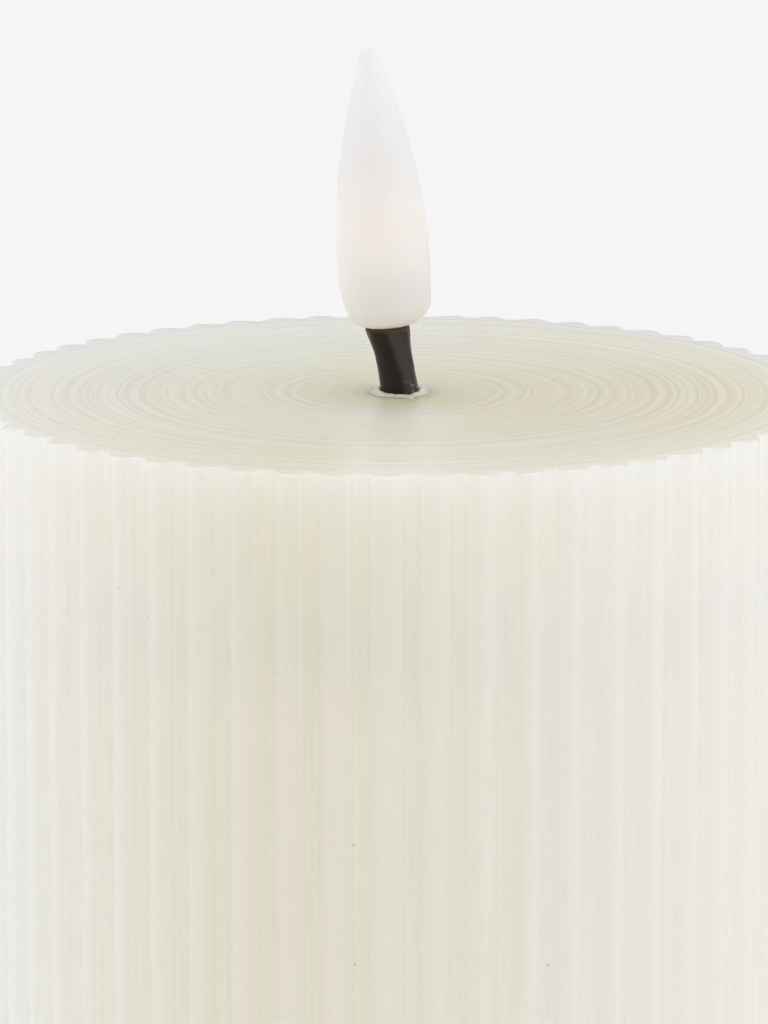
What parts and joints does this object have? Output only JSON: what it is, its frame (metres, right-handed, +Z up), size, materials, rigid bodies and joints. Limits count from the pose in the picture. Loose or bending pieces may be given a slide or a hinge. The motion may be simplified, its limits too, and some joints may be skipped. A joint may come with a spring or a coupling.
{
  "type": "flameless led candle",
  "caption": "Ribbed wax pillar candle with a bent wick, a frosted flame lit from inside, and a battery base with a door and a slide switch.",
  "frame": {"origin": "centre of the face that the candle stands on", "axes": "+Z up along the pillar, -Y towards the front, +X to the right, away from the side that the wick leans to"},
  "size_m": [0.075, 0.075, 0.1555],
  "materials": {
    "wax": "ivory paraffin wax, satin, ribbed side and lathe-turned top",
    "flame": "frosted translucent white silicone, matte",
    "wick": "black-brown sleeve, soft sheen",
    "led": "warm-white clear epoxy",
    "shell_plastic": "moulded white ABS with a fine spark texture",
    "red_wire": "red PVC insulation",
    "black_wire": "black PVC insulation",
    "cell": null,
    "contact": "nickel-plated spring steel",
    "board": "green solder mask over glass-fibre board",
    "chip": "black moulded epoxy with tinned leads",
    "capacitor": "dark shrink sleeve with a bare aluminium end",
    "crystal": "drawn metal can",
    "resistor": "black film on white ceramic with tinned ends",
    "screw": "zinc-plated steel",
    "switch_case": "folded tinned steel case",
    "switch_plastic": "black moulded acetal"
  },
  "bodies": {
    "candle": {"wax_shell": "wax", "wick_sleeve": "wick", "wick_holder": "shell_plastic", "flame": "flame", "flame_led": "led", "led_wire_red": "red_wire", "led_wire_black": "black_wire", "upper_cover": "shell_plastic", "base_housing": "shell_plastic", "base_screw_1": "screw", "base_screw_2": "screw", "base_screw_3": "screw", "base_screw_4": "screw", "cell_1": "cell", "cell_2": "cell", "negative_plate": "contact", "negative_spring": "contact", "positive_plate": "contact", "bridge_plate": "contact", "bridge_spring": "contact", "battery_wire_black": "black_wire", "battery_wire_red": "red_wire", "circuit_board": "board", "timer_chip": "chip", "capacitor": "capacitor", "crystal": "crystal", "resistor_1": "resistor", "resistor_2": "resistor", "board_screw_1": "screw", "board_screw_2": "screw", "switch_body": "switch_case"},
    "door": {"battery_door": "shell_plastic"},
    "switch": {"switch_lever": "switch_plastic", "switch_button": "switch_plastic"}
  },
  "joints": [
    {"name": "battery_door_hinge", "type": "hinge", "parent": "candle", "child": "door", "pos_m": [-0.0262, 0, 0.0008], "axis": [0, 1, 0], "range_deg": [0, 100]},
    {"name": "power_switch", "type": "slide", "parent": "candle", "child": "switch", "axis": [1, 0, 0], "range_m": [-0.002, 0.002]}
  ]
}
